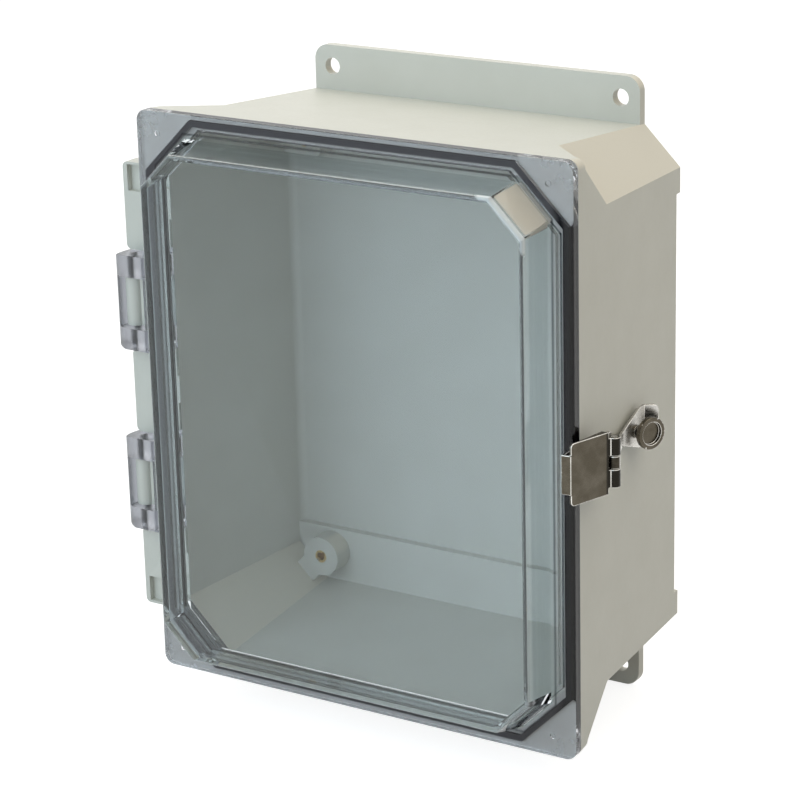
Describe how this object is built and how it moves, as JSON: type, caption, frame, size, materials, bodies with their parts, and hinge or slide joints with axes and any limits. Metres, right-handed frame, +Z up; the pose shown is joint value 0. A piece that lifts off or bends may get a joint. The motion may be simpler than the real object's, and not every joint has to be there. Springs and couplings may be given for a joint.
{
  "type": "wall-mounted enclosure",
  "caption": "Rectangular fibreglass wall box with a hinged clear raised-window cover, a side draw latch and mounting flanges above and below.",
  "frame": {"origin": "centre of the four wall-mounting holes, on the back plane that lies against the wall", "axes": "+X to the right seen from the front, +Y into the wall, +Z up; the cover faces -Y"},
  "size_m": [0.2543, 0.1298, 0.292],
  "materials": {
    "moulded_fibreglass": "compression-moulded glass-filled polyester, light grey, fine satin texture",
    "insert_brass": "machined brass",
    "clear_cover": "clear moulded polycarbonate",
    "gasket_foam": "black foamed polyurethane",
    "pin_steel": "drawn stainless steel",
    "washer_rubber": "moulded rubber",
    "latch_steel": "stamped and tumbled stainless steel"
  },
  "bodies": {
    "enclosure": {"enclosure_body": "moulded_fibreglass", "panel_inserts": "insert_brass", "latch_base": "latch_steel", "latch_base_pin": "pin_steel", "latch_rivets": "pin_steel", "latch_washers": "washer_rubber"},
    "cover": {"window_cover": "clear_cover", "cover_gasket": "gasket_foam", "upper_hinge_pin": "pin_steel", "lower_hinge_pin": "pin_steel"},
    "lever": {"latch_lever": "latch_steel", "lever_thumb_disc": "latch_steel"},
    "hook": {"latch_hook": "latch_steel", "latch_draw_pin": "pin_steel"}
  },
  "joints": [
    {"name": "cover_hinge", "type": "hinge", "parent": "enclosure", "child": "cover", "pos_m": [-0.1225, -0.1037, -0.0015], "axis": [0, 0, -1], "range_deg": [0, 110]},
    {"name": "lever_swing", "type": "hinge", "parent": "enclosure", "child": "lever", "pos_m": [0.11459, -0.10103, 0.0014], "axis": [0, 0, -1], "range_deg": [0, 110]},
    {"name": "hook_swing", "type": "hinge", "parent": "lever", "child": "hook", "pos_m": [0.12095, -0.09448, 0.0014], "axis": [0, 0, 1], "range_deg": [0, 165]}
  ],
  "couplings": [
    {"joint": "hook_swing", "follows": "lever_swing", "ratio": 1.5}
  ]
}
